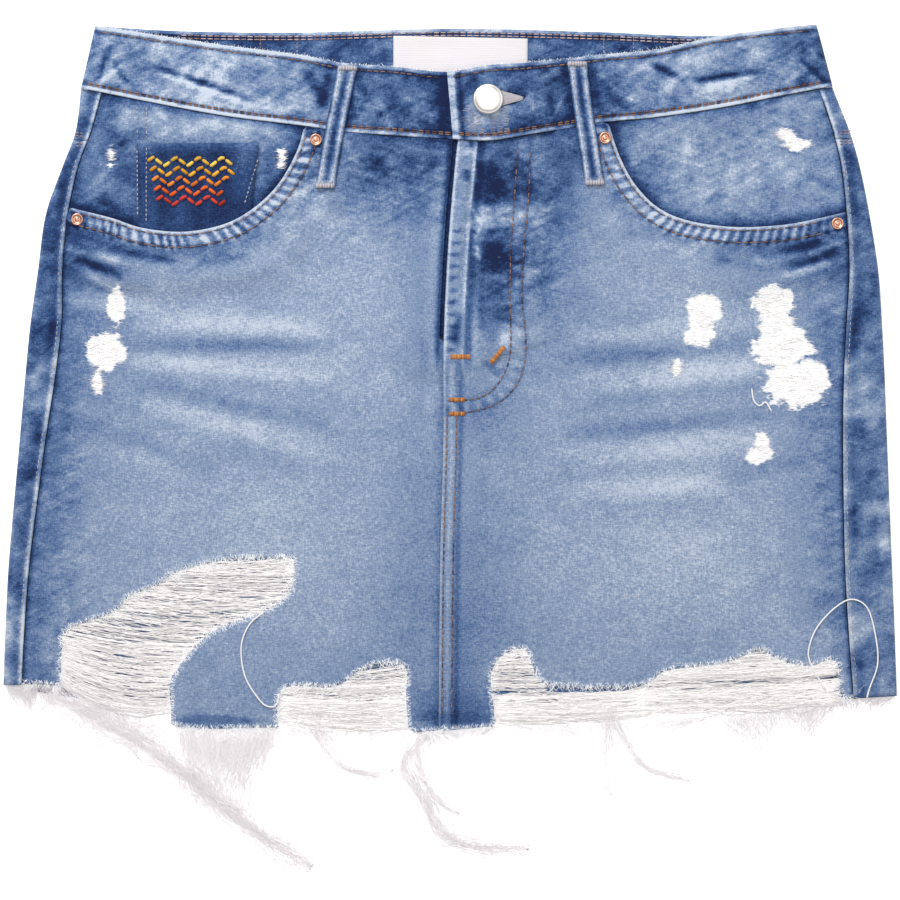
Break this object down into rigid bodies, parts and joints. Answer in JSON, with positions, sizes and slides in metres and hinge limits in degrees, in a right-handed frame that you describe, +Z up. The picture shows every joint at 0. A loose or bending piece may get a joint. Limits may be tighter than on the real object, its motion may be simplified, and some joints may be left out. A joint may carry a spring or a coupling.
{
  "type": "denim skirt",
  "caption": "Faded blue denim mini skirt laid flat, front up, with scoop pockets, button fly, belt loops, ripped front and frayed hem.",
  "frame": {"origin": "on the surface that the skirt lies on, under the middle of its bounding box", "axes": "+X to the viewer's right across the front, +Y up towards the waist, +Z up from the surface out of the front"},
  "size_m": [0.4964, 0.4689, 0.0124],
  "materials": {
    "denim": "faded stonewashed denim, front faces",
    "denim_dark": "darker denim of the back and the coin pocket",
    "denim_inside": "denim under the fly",
    "weft_thread": "undyed cotton threads and fluff",
    "label_tape": "blank white woven tape",
    "copper": "copper rivets, polished by wear",
    "button_metal": "plain silvery button"
  },
  "bodies": {
    "root": {"waistband": "denim", "front_left": "denim", "front_right": "denim", "fly_shield": "denim_inside", "pocket_facing_left": "denim", "pocket_facing_right": "denim", "coin_pocket": "denim_dark", "yoke_left": "denim_dark", "yoke_right": "denim_dark", "back_left": "denim_dark", "back_right": "denim_dark", "label": "label_tape", "belt_loop_left": "denim", "belt_loop_right": "denim", "rip_threads_left": "weft_thread", "rip_threads_centre": "weft_thread", "rip_threads_right": "weft_thread", "fray_left": "weft_thread", "fray_left_middle": "weft_thread", "fray_centre": "weft_thread", "fray_right": "weft_thread", "rivet_left_inner": "copper", "rivet_left_outer": "copper", "rivet_right_inner": "copper", "rivet_right_outer": "copper", "button": "button_metal"}
  },
  "joints": []
}
